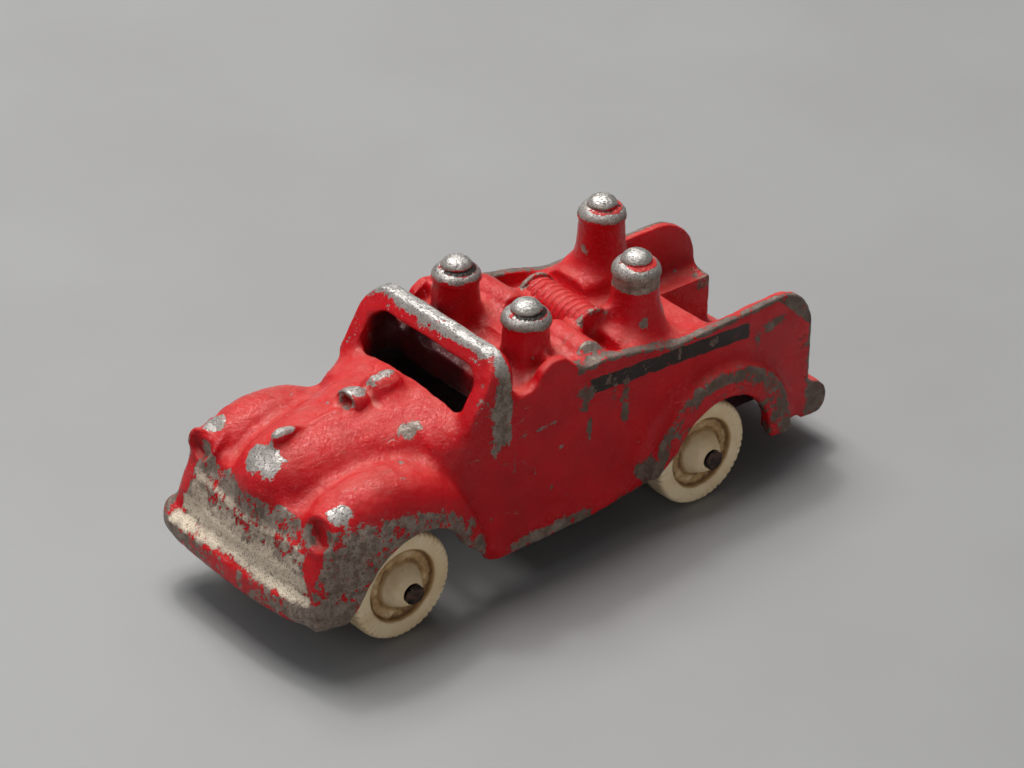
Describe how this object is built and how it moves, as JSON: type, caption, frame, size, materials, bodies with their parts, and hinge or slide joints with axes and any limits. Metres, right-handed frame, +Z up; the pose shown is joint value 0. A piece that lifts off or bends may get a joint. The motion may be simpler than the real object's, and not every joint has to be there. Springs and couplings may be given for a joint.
{
  "type": "toy fire engine",
  "caption": "Small hollow die-cast toy fire engine with a cast-in crew, hose reel and windscreen frame, rolling on moulded rubber wheels and steel axles.",
  "frame": {"origin": "on the ground plane under the middle of the toy's length and width, wheels touching z = 0", "axes": "+X towards the nose, +Y to the toy's left, +Z up"},
  "size_m": [0.1152, 0.0426, 0.047],
  "materials": {
    "casting_paint": "worn red enamel over bare grey cast metal",
    "axle_steel": "dark oxidised steel",
    "wheel_rubber": "aged cream moulded rubber"
  },
  "bodies": {
    "casting": {"body_casting": "casting_paint"},
    "front_axle": {"front_axle": "axle_steel"},
    "front_left_wheel": {"front_left_wheel": "wheel_rubber"},
    "front_right_wheel": {"front_right_wheel": "wheel_rubber"},
    "rear_axle": {"rear_axle": "axle_steel"},
    "rear_left_wheel": {"rear_left_wheel": "wheel_rubber"},
    "rear_right_wheel": {"rear_right_wheel": "wheel_rubber"}
  },
  "joints": [
    {"name": "front_axle_turn", "type": "hinge", "parent": "casting", "child": "front_axle", "pos_m": [0.0369, 0, 0.0095], "axis": [0, 1, 0], "continuous": true},
    {"name": "front_left_wheel_spin", "type": "hinge", "parent": "front_axle", "child": "front_left_wheel", "pos_m": [0.0369, 0.0153, 0.0095], "axis": [0, 1, 0], "continuous": true},
    {"name": "front_right_wheel_spin", "type": "hinge", "parent": "front_axle", "child": "front_right_wheel", "pos_m": [0.0369, -0.0153, 0.0095], "axis": [0, 1, 0], "continuous": true},
    {"name": "rear_axle_turn", "type": "hinge", "parent": "casting", "child": "rear_axle", "pos_m": [-0.0265, 0, 0.0095], "axis": [0, 1, 0], "continuous": true},
    {"name": "rear_left_wheel_spin", "type": "hinge", "parent": "rear_axle", "child": "rear_left_wheel", "pos_m": [-0.0265, 0.0153, 0.0095], "axis": [0, 1, 0], "continuous": true},
    {"name": "rear_right_wheel_spin", "type": "hinge", "parent": "rear_axle", "child": "rear_right_wheel", "pos_m": [-0.0265, -0.0153, 0.0095], "axis": [0, 1, 0], "continuous": true}
  ]
}
